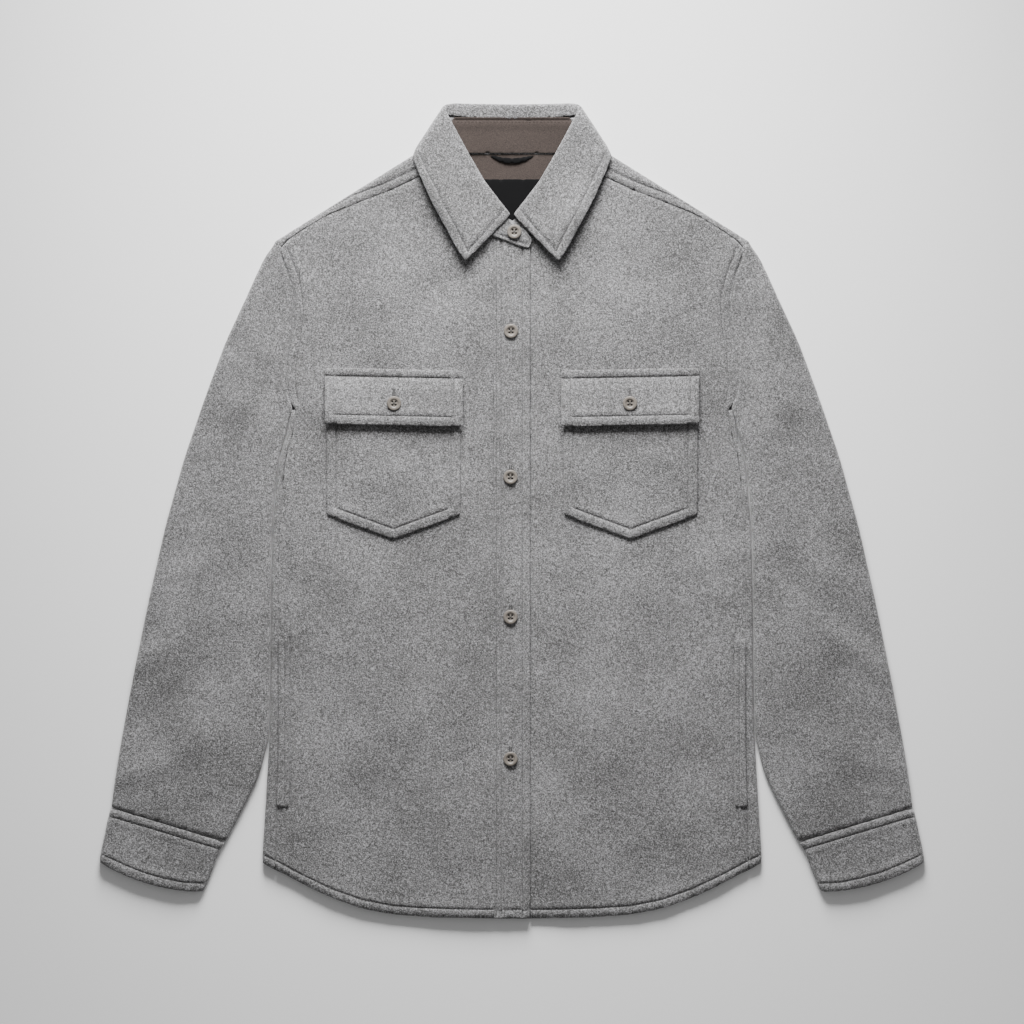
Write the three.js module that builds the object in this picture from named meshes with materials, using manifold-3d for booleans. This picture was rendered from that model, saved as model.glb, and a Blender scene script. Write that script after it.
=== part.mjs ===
// Wool shirt jacket laid flat with its front up, in millimetres.
// +Z is up and +Y points to the collar. The origin is on the surface below, under the outline's middle.
// Sizes are written for the wearer's right half, and the left half is its mirror image.

import * as THREE from 'three';
import Module from 'manifold-3d';

const wasm = await Module();
wasm.setup();

const { lerp, smoothstep, clamp } = THREE.MathUtils;

// Cloth thicknesses and the spaces between layers
const WOOL = 2.4;
const COLLAR_WOOL = 2.2;
const STAND_WOOL = 2.1;
const CUFF_WOOL = 2.8;
const COTTON = 1.0;
const HOLLOW = 2.4;
const SEAM = 0.35;
const REST = 0.4;
const LOFT = 1.1;
const BAND_RISE = 0.5;
const BODY_FOLD = WOOL + HOLLOW / 2;
const FRONT_TOP = 2 * BODY_FOLD;
const CUFF_FOLD = CUFF_WOOL + HOLLOW / 2;

// Closing edge of the fronts
const OVER_LEFT = -18;
const OVER_RIGHT = 17.5;
const UNDER_LEFT = -17;
const UNDER_RIGHT = 18;
const UNDER_Z = WOOL + 0.3;
const OVER_Z = UNDER_Z + WOOL + 0.3;
const PLACKET_WALL = 2.6;

// Buttons
const BUTTON_RADIUS = 7.3;
const BUTTON_HIGH = 2.6;
const BUTTON_RIM = 1.5;
const BUTTON_DISH = 0.7;
const HOLE_RADIUS = 0.85;
const HOLE_OFFSET = 1.35;

// Side fold of the body from hem to armpit, as [y, half width, distance in to the side seam]
const SIDE = [
  [-352, 249.5, 12.5], [-332, 249, 12], [-289, 246, 10], [-225, 242, 8], [-128, 240.6, 6.1],
  [-31, 240, 6], [25, 236.4, 6], [58, 231.4, 5.5], [70, 226.7, 5.2], [86, 223, 5], [102, 221.6, 5],
];
// Shared rows of the back and the fronts, as [share of the way up to the armpit, distance above the hem]
const BODY_ROWS = [
  [0, 0], [0, 9], [0, 12], [0.14, 0], [0.3, 0], [0.46, 0], [0.6, 0], [0.74, 0], [0.85, 0], [0.9, 0],
  [0.945, 0], [1, 0],
];
const ARMPIT = 102;
const HEM_CORNER = 246;
// Armhole from armpit to shoulder tip, as [y, half width]
const ARMHOLE = [
  [102, 221.6], [112, 224.5], [130, 227], [165, 223], [205, 218.4], [243.3, 225.4], [261.6, 232.5],
  [267.8, 240],
];
// Hem from the middle out, as [half width, y]
const HEM = [
  [0, -407.3], [32, -407.3], [88, -405.7], [119, -403.5], [150, -397.4], [180, -386.7], [211, -372.1],
  [234, -359.7], [250, -352],
];
// Neckline of a front from the placket out to the yoke, as [half width, y]
const NECKLINE = [[18.3, 279.6], [28, 283.8], [42.5, 292.3], [68.5, 320.8], [84, 339.3]];

// Shoulder line, from its tip to the neck, with the yoke's front seam measured across it
const SHOULDER_TIP = [-240, 267.8];
const SHOULDER_ALONG = [0.848, 0.53];
const SHOULDER_IN = [0.53, -0.848];
const SHOULDER_LENGTH = 170;
const BACK_SEAM_Y = 243.3;
const BACK_SEAM_HALF = 225.4;
const BACK_SEAM_MIDDLE = 24.4;
// Yoke columns, as [fold along, front seam along, front seam across]
const YOKE = [
  [2.5, 4.2, 8.4], [14, 16, 5], [34, 35, 4.4], [65, 65, 5.2], [94, 94, 10.7], [129, 129, 17.5],
  [151, 151, 20.2], [170, 170, 22.1],
];
// Neck edge of the yoke at the back, as [x, y]
const BACK_NECK = [[-62, 361.6], [0, 361.8], [62, 361.6]];

// Sleeve sections, as [outer x, outer y, inner x, inner y]
const SLEEVE = [
  [240.6, 267.8, 222.2, 102], [252.5, 243, 224, 86], [266, 213, 228, 70], [286, 170, 232, 56],
  [306, 116, 237, 22], [327, 55, 240, -31], [346, -13, 240, -98], [364, -93, 241, -165],
  [380, -172, 243, -225], [391, -232, 252, -262], [396, -263, 266, -291], [400.6, -296.3, 286.5, -330.5],
];
const SLEEVE_CLEAR = 0.6;
const CURVE_FADES = 0.3;
// Cuff sections, as [outer x, outer y, inner x, inner y, sag of the middle, band rise]
const CUFF = [
  [401.2, -296.9, 287.3, -331.3, 0, 0.5], [403, -303, 292, -338, 0.5, 0.5],
  [403.6, -306, 293, -340.5, 1, 0], [407, -322, 297.5, -353, 3, 0], [411, -340, 303, -367, 6, 0],
  [411.8, -343, 304, -370, 6.5, 0.5], [412, -351.8, 309, -380.5, 7.5, 0.5],
];

// The collar folds round this line at each side of the neck
const COLLAR_CORNER = [-68, 407.3];
const COLLAR_ALONG = [-0.547, -0.838];
const COLLAR_IN = [0.838, -0.547];
const COLLAR_FOLD = 6.2;
const ROLL_RADIUS = 2.45;
const STAND_OUTER = 3.5;
// Collar fall unfolded, measured along and across its side fold, from centre back to the front corner,
// as [roll along, roll across, edge along, edge across, tuck under the roll, where it leaves the stand,
// lift of the fall, lift of the tuck on the right, lift of the tuck on the left]
const FALL = [
  [-36.8, -59.1, 0.2, -83.2, 14, 99, 0, 1.7, 1.7], [-18.6, -30.3, 25, -45, 14, 99, 0, 0.9, 0.9],
  [-4.9, -8, 48.5, -8, 13, 99, 0, 0, 0], [-2.4, -4, 50.3, -4, 13, 99, 0, 0, 0],
  [0, 0, 52, 0, 13, 99, 0, 0, 0], [2.4, 4, 61.5, 4, 12, 99, 0, 0, 0], [4.9, 8, 64.5, 8, 12, 99, 0, 0, 0],
  [8, 13, 68, 13, 12, 99, 0, 0, 0], [17.3, 30, 75, 24, 12, 99, 0, 0, 0],
  [28.2, 50.1, 88, 44, 12, 54, 0.1, 0, 0], [41.8, 76.9, 103, 72, 9, 51, 0.2, 0.1, -0.4],
  [50, 100, 114.2, 92, 6, 44, 0.4, 0.4, -1.3], [56.2, 118, 119.4, 105.8, 2.8, 36, 0.5, 0.7, -2.1],
];
// Collar stand unfolded in the same way, as [top along, top across, lower along, lower across, lift]
const STAND_BACK = [
  [-24.8, -62.7, 4.7, -82, 0], [-6.2, -34.2, 27.7, -46.8, 0], [4.7, -17.5, 43.3, -21.1, 0],
  [11.5, -3.85, 47.6, -3.85, 0], [13, -1.9, 48.3, -1.9, 0], [13.7, 0, 49, 0, 0],
  [15.6, 1.9, 50.5, 1.9, 0], [17.9, 3.85, 52, 3.85, 0], [22.2, 8.4, 57.5, 9, 0],
  [30.9, 24.5, 68.2, 22, 0], [42, 44.6, 76.8, 43, 0],
];
const STAND_OVER = [
  [52.6, 71.9, 86.3, 81.5, 0.1], [57.7, 94.9, 85.6, 99, 0.4], [60.1, 113.2, 82.7, 115.5, 0.7],
  [60.9, 124.5, 80, 126.8, 0.7], [61.8, 135.8, 77.4, 140.2, 0.7], [65.5, 145.2, 73.5, 147.5, 0.7],
];
const STAND_UNDER = [
  [52.6, 71.9, 86.3, 81.5, -0.4], [57.7, 94.9, 84.5, 99, -1.3], [60.1, 113.2, 78.8, 113.5, -2.1],
  [61, 120, 71, 122, -2.1], [59.5, 127.5, 66.5, 129, -2.1],
];

// Patch pocket and flap, sides and top as distances from the middle of the garment
const POCKET = { outer: 185.2, inner: 52, top: 121, corner: -3, point: -27.5, wall: 2.2, band: 9 };
const FLAP = { outer: 187.2, inner: 49.3, topOuter: 143.3, topInner: 140.5, deep: 55.5, wall: 2.4, band: 9 };
const WELT = { top: -127.7, bottom: -295.7, inner: 223.5, edge: 1.2, wall: 1.9, stitch: 4 };

// Button places, as [name, x, y]
const PLACKET_BUTTONS = [[1, -1, 180.3], [2, -1.5, 34.3], [3, -1.5, -105.7], [4, -1.5, -247.7]];
const STAND_BUTTON = [2.3, 279.7];
const FLAP_BUTTON = [118, 108];

// Inside of the neck
const FACING = { topHalf: 58, lowHalf: 74, top: 392.2, low: 358.6, z: 5.1 };
const LINING = { topHalf: 76, top: 356.6, lowHalf: 14, low: 282, z: 2.7 };
const LABEL = { half: 33.5, top: 331.8, low: 288, z: 4.0, wall: 0.8 };
const LOOP = { half: 22, drop: 7, width: 4.5, top: 354, z: 4.1, wall: 0.9, hump: 1.5 };

function finish(color, roughness) {
  return new THREE.MeshStandardMaterial({ color, roughness, metalness: 0 });
}

const WOOL_FINISH = finish(0x8f8e8d, 0.95);
const FACING_FINISH = finish(0x675c58, 0.85);
const TAPE_FINISH = finish(0x1c1c1e, 0.8);
const BUTTON_FINISH = finish(0x77726c, 0.45);

const jacket = new THREE.Group();

// Reads a value beside a key from rows that rise by their first column, with straight lines between.
function lookUp(rows, key, column = 1) {
  let row = 1;
  while (row < rows.length - 1 && rows[row][0] < key) row += 1;
  const [low, high] = [rows[row - 1], rows[row]];
  const share = clamp((key - low[0]) / (high[0] - low[0]), 0, 1);
  return lerp(low[column], high[column], share);
}

// Turns a closed set of triangles so that its faces point out.
function closedGeometry(corners, faces) {
  let volume = 0;
  for (const [a, b, c] of faces) {
    volume += new THREE.Vector3(...corners[a]).dot(
      new THREE.Vector3(...corners[b]).cross(new THREE.Vector3(...corners[c])));
  }
  const points = [];
  for (const [a, b, c] of faces) {
    const turn = volume > 0 ? [a, b, c] : [a, c, b];
    for (const corner of turn) points.push(...corners[corner]);
  }
  const geometry = new THREE.BufferGeometry();
  geometry.setAttribute('position', new THREE.Float32BufferAttribute(points, 3));
  geometry.computeVertexNormals();
  return geometry;
}

// Makes a wall of cloth from a grid of outer points and the matching grid of inner points.
// A ring's last column joins its first, and keep(row, column) leaves cells out.
function cloth(name, outer, inner, { ring = false, keep = () => true, material = WOOL_FINISH } = {}) {
  const rows = outer.length;
  const columns = outer[0].length;
  const cells = ring ? columns : columns - 1;
  const corners = [...outer.flat(), ...inner.flat()];
  const under = rows * columns;
  const faces = [];
  const edges = new Map();
  for (let row = 0; row < rows - 1; row += 1) {
    for (let column = 0; column < cells; column += 1) {
      if (!keep(row, column)) continue;
      const next = (column + 1) % columns;
      const loop = [row * columns + column, row * columns + next,
        (row + 1) * columns + next, (row + 1) * columns + column];
      const [a, b, c, d] = loop;
      faces.push([a, b, c], [a, c, d], [a + under, c + under, b + under], [a + under, d + under, c + under]);
      loop.forEach((from, i) => edges.set(`${from} ${loop[(i + 1) % 4]}`, [from, loop[(i + 1) % 4]]));
    }
  }
  for (const [from, to] of edges.values()) {
    if (edges.has(`${to} ${from}`)) continue;
    faces.push([to, from, from + under], [to, from + under, to + under]);
  }
  const mesh = new THREE.Mesh(closedGeometry(corners, faces), material);
  mesh.name = name;
  jacket.add(mesh);
}

function mirror(points) {
  return points.map((line) => line.map(([x, y, z]) => [-x, y, z]));
}

// Adds a piece on the wearer's right and its mirror image on the left.
function pair(name, outer, inner, options) {
  cloth(`${name}_right`, outer, inner, options);
  cloth(`${name}_left`, mirror(outer), mirror(inner), options);
}

function hemY(x) {
  return lookUp(HEM, Math.abs(x));
}

// Fullness of the laid fronts over the back, nothing near their edges.
function loft(x, y) {
  const across = clamp(1.25 * (1 - (x / 232) ** 2), 0, 1);
  const along = smoothstep(y, -380, -300) * (1 - smoothstep(y, 190, 262));
  const sway = 0.8 + 0.2 * Math.sin(x / 46 + y / 95);
  return LOFT * across * along * sway;
}

// Underside of the front panels. The right one laps over at the middle, the left one dips under.
function frontUnder(x, y) {
  const middle = 1 - smoothstep(Math.abs(x), 18, 56);
  const level = x < 0 ? OVER_Z : UNDER_Z;
  return lerp(WOOL + HOLLOW + loft(x, y), level, middle);
}

function frontTop(x, y) {
  return frontUnder(x, y) + WOOL;
}

// Rows from the hem to the armpit that the back and the fronts share, each with its height over the hem.
function bodyRows() {
  return BODY_ROWS.map(([share, margin]) => {
    const yAt = (x) => lerp(hemY(x) + margin, ARMPIT, share);
    const sideY = yAt(HEM_CORNER);
    return { half: lookUp(SIDE, sideY), inset: lookUp(SIDE, sideY, 2), yAt };
  });
}

// Back panel: flat below, and wrapped round each side fold up to the side seam on the front.
function makeBack() {
  const bottom = [0, 0.35, 0.7, 1];
  const turns = [-54, -18, 18, 54, 90].map(THREE.MathUtils.degToRad);
  const outer = [];
  const inner = [];
  const line = (half, inset, yAt, rise) => {
    const right = bottom.map((share) => [share * (half - BODY_FOLD), 0, WOOL + rise]);
    for (const turn of turns) {
      right.push([half - BODY_FOLD + BODY_FOLD * Math.cos(turn), BODY_FOLD * (1 + Math.sin(turn)), turn]);
    }
    right.push([half - inset, FRONT_TOP, null]);
    const place = (sign, surface) => right.map(([x, z, extra], i) => {
      let [px, pz] = [x, z];
      if (surface === 'inner' && i < bottom.length) pz = extra;
      if (surface === 'inner' && i >= bottom.length && extra !== null) {
        px = half - BODY_FOLD + (BODY_FOLD - WOOL) * Math.cos(extra);
        pz = BODY_FOLD + (BODY_FOLD - WOOL) * Math.sin(extra);
      }
      if (surface === 'inner' && extra === null) pz = FRONT_TOP - WOOL;
      return [sign * px, yAt(px), pz];
    });
    for (const [grid, surface] of [[outer, 'outer'], [inner, 'inner']]) {
      grid.push([...place(-1, surface).reverse(), ...place(1, surface).slice(1)]);
    }
  };
  for (const { half, inset, yAt } of bodyRows()) line(half, inset, yAt, 0);
  const rowsBelow = outer.length;
  for (const [y, half] of ARMHOLE.slice(1, 6)) {
    const top = y === BACK_SEAM_Y ? y - SEAM : y;
    line(half - SEAM + BODY_FOLD, 5, () => top, 0);
  }
  const side = turns.length + 1;
  const columns = outer[0].length;
  const keep = (row, column) => row < rowsBelow - 1 || (column >= side && column < columns - 1 - side);
  cloth('back', outer, inner, { keep });
}

function shoulderPoint(along, across) {
  return [
    SHOULDER_TIP[0] + SHOULDER_ALONG[0] * along + SHOULDER_IN[0] * across,
    SHOULDER_TIP[1] + SHOULDER_ALONG[1] * along + SHOULDER_IN[1] * across,
  ];
}

// Yoke: from the back seam up over both shoulder folds to the front seams, cut out round the neck.
function makeYoke() {
  const backShares = [0, 0.45, 0.8];
  const turns = [-90, -54, -18, 18, 54, 90].map(THREE.MathUtils.degToRad);
  const sideColumn = ([foldAlong, seamAlong, seamAcross], index) => {
    const backX = -lerp(BACK_SEAM_HALF - SEAM, BACK_SEAM_MIDDLE, foldAlong / SHOULDER_LENGTH);
    const start = shoulderPoint(foldAlong, BODY_FOLD);
    const seam = shoulderPoint(seamAlong, seamAcross - SEAM);
    const pairs = [];
    for (const share of backShares) {
      const y = lerp(BACK_SEAM_Y, start[1], share);
      const x = index === 0 ? -(lookUp(ARMHOLE, y) - SEAM) : lerp(backX, start[0], share);
      pairs.push([[x, y, 0], [x, y, WOOL]]);
    }
    for (const turn of turns) {
      const at = (radius) => {
        const [x, y] = shoulderPoint(foldAlong, BODY_FOLD - radius * Math.cos(turn));
        return [x, y, BODY_FOLD + radius * Math.sin(turn)];
      };
      pairs.push([at(BODY_FOLD), at(BODY_FOLD - WOOL)]);
    }
    pairs.push([[...seam, FRONT_TOP], [...seam, FRONT_TOP - WOOL]]);
    return pairs;
  };
  const middleColumn = ([x, y]) => {
    const pairs = [];
    const backX = BACK_SEAM_MIDDLE * x / 62;
    for (const share of [...backShares, 1]) {
      const at = [lerp(backX, x, share), lerp(BACK_SEAM_Y, y, share)];
      pairs.push([[...at, 0], [...at, WOOL]]);
    }
    while (pairs.length < backShares.length + turns.length + 1) pairs.push(pairs[backShares.length]);
    return pairs;
  };
  const right = YOKE.map(sideColumn);
  const left = right.map((column) => column.map((two) => two.map(([x, y, z]) => [-x, y, z]))).reverse();
  const columns = [...right, ...BACK_NECK.map(middleColumn), ...left];
  const rows = columns[0].length;
  const grid = (face) => Array.from({ length: rows }, (_, row) => columns.map((column) => column[row][face]));
  const keep = (row, column) => row < backShares.length
    || column < YOKE.length - 1 || column >= YOKE.length + BACK_NECK.length;
  cloth('yoke', grid(0), grid(1), { keep });
}

// Top edge of a front: the yoke seam, then the neckline down to the placket.
function frontTopEdge() {
  const seam = YOKE.map(([, along, across]) => shoulderPoint(along, across + SEAM / 2));
  const neck = [...NECKLINE].reverse().slice(1).map(([half, y]) => [-half, y]);
  return [...seam, ...neck];
}

function makeFronts() {
  const top = frontTopEdge();
  const bottomShares = [0, 0.05, 0.13, 0.25, 0.4, 0.52, 0.64, 0.76, 0.86, 0.92, 0.96, 1];
  const armholeRows = ARMHOLE.slice(1, 6).map(([y, half]) => [-(half - SEAM), y]);
  const side = bodyRows().map(({ half, inset, yAt }) => [-(half - inset - SEAM), yAt(half - inset)]);
  const left = [...side, ...armholeRows, top[0]];
  const placketTop = top[top.length - 1][1];
  const bodyHeight = placketTop - hemY(0);
  const total = left.length - 1;
  const leftShare = left.map(([, y]) => (y - left[0][1]) / (left[total][1] - left[0][1]));
  const middle = leftShare.map((share, i) => [OVER_LEFT - SEAM,
    hemY(OVER_LEFT) + (i === 1 || i === 2 ? BODY_ROWS[i][1] : share * bodyHeight)]);
  const bottom = bottomShares.map((share) => {
    const x = lerp(left[0][0], OVER_LEFT - SEAM, share);
    return [x, hemY(x)];
  });
  const outer = [];
  const inner = [];
  for (let row = 0; row <= total; row += 1) {
    const v = leftShare[row];
    const points = bottomShares.map((u, column) => [0, 1].map((axis) => {
      const ruled = lerp(bottom[column][axis], top[column][axis], v)
        + lerp(left[row][axis], middle[row][axis], u);
      const corner = lerp(lerp(left[0][axis], middle[0][axis], u), lerp(top[0][axis], top[11][axis], u), v);
      return ruled - corner;
    }));
    const rise = row < 2 ? BAND_RISE : 0;
    outer.push(points.map(([x, y]) => [x, y, frontTop(x, y) + rise]));
    inner.push(points.map(([x, y]) => [x, y, frontUnder(x, y)]));
  }
  cloth('front_right', outer, inner);
  const other = (grid, height) => grid.map((line) => line.map(([x, y]) => [-x, y, height(-x, y)]));
  cloth('front_left', other(outer, frontTop), other(inner, frontUnder));
}

function makePlackets() {
  const shares = [0, 0.02, 0.2, 0.4, 0.6, 0.8, 1];
  const strip = (name, xs, topY, bottomZ, wall, grooves) => {
    const grid = (surface) => shares.map((share) => xs.map((x, i) => {
      const y = lerp(hemY(x), lerp(topY[0], topY[1], (x - xs[0]) / (xs[xs.length - 1] - xs[0])), share);
      return [x, y, surface === 'outer' ? bottomZ + wall - (grooves.includes(i) ? BAND_RISE : 0) : bottomZ];
    }));
    cloth(name, grid('outer'), grid('inner'));
  };
  strip('placket_under', [UNDER_LEFT, UNDER_RIGHT], [279.8, 279.8], UNDER_Z, WOOL, []);
  strip('placket_over', [OVER_LEFT, -15, -11, -7, 0, 10.4, OVER_RIGHT], [279.6, 266], OVER_Z,
    PLACKET_WALL, [0, 2, 5]);
}

// Reads a point along a line of straight pieces, at a distance from its start.
function alongLine(points, distance) {
  let rest = distance;
  for (let i = 0; i < points.length - 1; i += 1) {
    const step = Math.hypot(points[i + 1][0] - points[i][0], points[i + 1][1] - points[i][1]);
    if (rest <= step || i === points.length - 2) {
      const share = rest / step;
      return [0, 1].map((axis) => lerp(points[i][axis], points[i + 1][axis], share));
    }
    rest -= step;
  }
  return points[points.length - 1];
}

function lineLength(points) {
  return points.slice(1).reduce((sum, [x, y], i) => sum + Math.hypot(x - points[i][0], y - points[i][1]), 0);
}

// One section of a flattened tube: over the top along a line, round its end, and back below.
function tubeSection(points, fold, wall, fullness, rise) {
  const turns = [-54, -18, 18, 54].map(THREE.MathUtils.degToRad);
  const length = lineLength(points);
  const flats = [fold];
  let run = 0;
  for (let i = 1; i < points.length - 1; i += 1) {
    run += Math.hypot(points[i][0] - points[i - 1][0], points[i][1] - points[i - 1][1]);
    flats.push(run);
  }
  flats.push(length - fold);
  const outer = [];
  const inner = [];
  const add = (distance, z, innerDistance, innerZ) => {
    outer.push([...alongLine(points, distance), z]);
    inner.push([...alongLine(points, innerDistance), innerZ]);
  };
  for (const at of flats) {
    const full = fullness * Math.sin(Math.PI * at / length);
    add(at, 2 * fold + full + rise, at, 2 * fold - wall + full);
  }
  for (const turn of [...turns].reverse()) {
    const [out, z] = [Math.cos(turn), Math.sin(turn)];
    const end = length - fold;
    add(end + fold * out, fold * (1 + z), end + (fold - wall) * out, fold + (fold - wall) * z);
  }
  for (const at of [...flats].reverse()) add(at, 0, at, wall);
  for (const turn of turns) {
    const [out, z] = [Math.cos(turn), Math.sin(turn)];
    add(fold - fold * out, fold * (1 + z), fold - (fold - wall) * out, fold + (fold - wall) * z);
  }
  return [outer, inner];
}

// Sleeve: a flattened tube whose first section is the armhole seam.
function makeSleeves() {
  const tip = [SLEEVE[0][0], SLEEVE[0][1]];
  const armhole = [tip, ...[...ARMHOLE].reverse().slice(1, -1).map(([y, half]) => [half + SEAM, y]),
    [SLEEVE[0][2], SLEEVE[0][3]]];
  const shares = armhole.map((_, i) => lineLength(armhole.slice(0, i + 1)) / lineLength(armhole));
  const chord = (share) => [lerp(armhole[0][0], armhole[7][0], share), lerp(armhole[0][1], armhole[7][1], share)];
  const sections = SLEEVE.map(([outX, outY, inX, inY], i) => {
    const clearX = inY >= SIDE[3][0] ? Math.max(inX, lookUp(SIDE, inY) + SLEEVE_CLEAR) : inX;
    const fade = Math.max(0, 1 - i / (SLEEVE.length * CURVE_FADES)) ** 2;
    const line = shares.map((share, k) => [0, 1].map((axis) => {
      const straight = lerp([outX, outY][axis], [clearX, inY][axis], share);
      return straight + fade * (armhole[k][axis] - chord(share)[axis]);
    }));
    const edge = Math.min(i / 3, (SLEEVE.length - 1 - i) / 2, 1);
    return tubeSection(line.map(([x, y]) => [-x, y]), BODY_FOLD, WOOL, LOFT * edge, 0);
  });
  pair('sleeve', sections.map(([outer]) => outer), sections.map(([, inner]) => inner), { ring: true });
}

function makeCuffs() {
  const shares = [0, 0.2, 0.4, 0.6, 0.8, 1];
  const sections = CUFF.map(([outX, outY, inX, inY, sag, rise]) => {
    const line = shares.map((share) => [-lerp(outX, inX, share),
      lerp(outY, inY, share) - sag * 4 * share * (1 - share)]);
    return tubeSection(line, CUFF_FOLD, CUFF_WOOL, 0.4, rise);
  });
  pair('cuff', sections.map(([outer]) => outer), sections.map(([, inner]) => inner), { ring: true });
}

// Carries a point of the unfolded collar round the fold at the side of the neck.
function foldCollar(along, across, radius, midRadius) {
  const quarter = Math.PI / 2 * midRadius;
  const angle = clamp(across / midRadius, -Math.PI / 2, Math.PI / 2);
  const run = Math.max(0, Math.abs(across) - quarter);
  const inward = COLLAR_FOLD - radius * Math.cos(angle) + run;
  return [
    COLLAR_CORNER[0] + COLLAR_ALONG[0] * along + COLLAR_IN[0] * inward,
    COLLAR_CORNER[1] + COLLAR_ALONG[1] * along + COLLAR_IN[1] * inward,
    COLLAR_FOLD + radius * Math.sin(angle),
  ];
}

const FALL_MID = COLLAR_FOLD - COLLAR_WOOL / 2;
const STAND_MID = STAND_OUTER - STAND_WOOL / 2;

// One column of the collar fall, from its tucked edge over the roll to its outer edge.
function fallColumn([rollA, rollW, edgeA, edgeW, tuck, leaves, lift, liftRight, liftLeft], isRight) {
  const length = Math.hypot(edgeA - rollA, edgeW - rollW);
  const tuckLift = isRight ? liftRight : liftLeft;
  const rollMid = COLLAR_FOLD - ROLL_RADIUS;
  const columns = [];
  const add = (outDistance, outRadius, inDistance, inRadius, level) => {
    const pairOf = [[outDistance, outRadius], [inDistance, inRadius]].map(([distance, radius], face) => {
      const share = distance / length;
      const point = foldCollar(lerp(rollA, edgeA, share), lerp(rollW, edgeW, share), radius, FALL_MID);
      point[2] += lerp(tuckLift, lift, level);
      if (level === 1) {
        const eased = smoothstep(distance, leaves, leaves + 14);
        const carried = frontTop(point[0], point[1]) + REST + (face === 0 ? COLLAR_WOOL : 0);
        point[2] = lerp(point[2], Math.min(carried, point[2]), eased);
      }
      return isRight ? point : [-point[0], point[1], point[2]];
    });
    columns.push(pairOf);
  };
  const tucked = STAND_OUTER - COLLAR_WOOL;
  add(tuck, tucked, tuck, STAND_OUTER, 0);
  add(ROLL_RADIUS, tucked, ROLL_RADIUS, STAND_OUTER, 0);
  for (const turn of [-45, 0, 45].map(THREE.MathUtils.degToRad)) {
    const out = Math.cos(turn);
    const up = Math.sin(turn);
    add(ROLL_RADIUS * (1 - out), rollMid + ROLL_RADIUS * up, ROLL_RADIUS - 0.25 * out, rollMid + 0.25 * up,
      (up + 1) / 2);
  }
  for (const distance of [ROLL_RADIUS, 0.3 * length, 0.6 * length, length - 10, length - 8.5, length]) {
    add(distance, COLLAR_FOLD, distance, COLLAR_FOLD - COLLAR_WOOL, 1);
  }
  return columns;
}

function makeCollarFall() {
  const right = [...FALL].reverse().map((row) => fallColumn(row, true));
  const left = FALL.slice(1).map((row) => fallColumn(row, false));
  const columns = [...right, ...left];
  cloth('collar_fall', columns.map((column) => column.map((two) => two[0])),
    columns.map((column) => column.map((two) => two[1])));
}

function standColumn([topA, topW, lowA, lowW, lift], isRight) {
  return [0, 0.5, 1].map((share) => [STAND_OUTER, STAND_OUTER - STAND_WOOL].map((radius) => {
    const [x, y, z] = foldCollar(lerp(topA, lowA, share), lerp(topW, lowW, share), radius, STAND_MID);
    return [isRight ? x : -x, y, z + lift];
  }));
}

function makeCollarStand() {
  const right = [...STAND_BACK, ...STAND_OVER].reverse().map((row) => standColumn(row, true));
  const left = [...STAND_BACK.slice(1), ...STAND_UNDER].map((row) => standColumn(row, false));
  const columns = [...right, ...left];
  cloth('collar_stand', columns.map((column) => column.map((two) => two[0])),
    columns.map((column) => column.map((two) => two[1])));
}

// A flat piece between a top and a lower edge, laid at one height.
function makeFlat(name, { topHalf, top, lowHalf, low, z }, wall, material) {
  const place = (height) => [low, top].map((y, i) => [-1, -0.33, 0.33, 1].map((share) => [
    share * (i ? topHalf : lowHalf), y, height]));
  cloth(name, place(z + wall), place(z), { material });
}

function makeNeckInside() {
  makeFlat('stand_facing', FACING, COTTON, FACING_FINISH);
  makeFlat('yoke_lining', LINING, COTTON, FACING_FINISH);
  makeFlat('neck_label', { ...LABEL, topHalf: LABEL.half, lowHalf: LABEL.half }, LABEL.wall, TAPE_FINISH);
  const place = (height) => [0, LOOP.width].map((offset) => [-1, -0.75, -0.45, 0, 0.45, 0.75, 1].map((share) => {
    const bow = Math.cos(Math.PI / 2 * share);
    const x = share * (LOOP.half - offset * 0.6);
    return [x, LOOP.top - LOOP.drop * bow ** 0.6 + offset * bow ** 0.3, height + LOOP.hump * bow];
  }));
  cloth('hanger_loop', place(LOOP.z + LOOP.wall), place(LOOP.z), { material: TAPE_FINISH });
}

const EDGE_SHARES = [0, 0.065, 0.08, 0.3, 0.5, 0.7, 0.92, 0.935, 1];

function isBand(share) {
  return share <= EDGE_SHARES[1] || share >= EDGE_SHARES[EDGE_SHARES.length - 2];
}

function makePockets() {
  const outer = [];
  const inner = [];
  for (const [fromBottom, share] of [[0, 0], [9, 0], [10.5, 0], [0, 0.35], [0, 0.7], [0, 1]]) {
    const points = EDGE_SHARES.map((u) => {
      const low = lerp(POCKET.corner, POCKET.point, 1 - Math.abs(2 * u - 1));
      return [-lerp(POCKET.outer, POCKET.inner, u), lerp(low + fromBottom, POCKET.top, share)];
    });
    const band = share === 0 && fromBottom <= POCKET.band;
    outer.push(points.map(([x, y], i) => [x, y, frontTop(x, y) + REST + POCKET.wall
      + (band || isBand(EDGE_SHARES[i]) ? BAND_RISE : 0)]));
    inner.push(points.map(([x, y]) => [x, y, frontTop(x, y) + REST]));
  }
  pairOnFront('pocket', outer, inner);
}

// The left front dips where the right one rises, so each side's heights are worked out anew.
function pairOnFront(name, outer, inner) {
  cloth(`${name}_right`, outer, inner);
  const other = (grid) => grid.map((line) => line.map(([x, y, z]) =>
    [-x, y, z - frontTop(x, y) + frontTop(-x, y)]));
  cloth(`${name}_left`, other(outer), other(inner));
}

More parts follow.
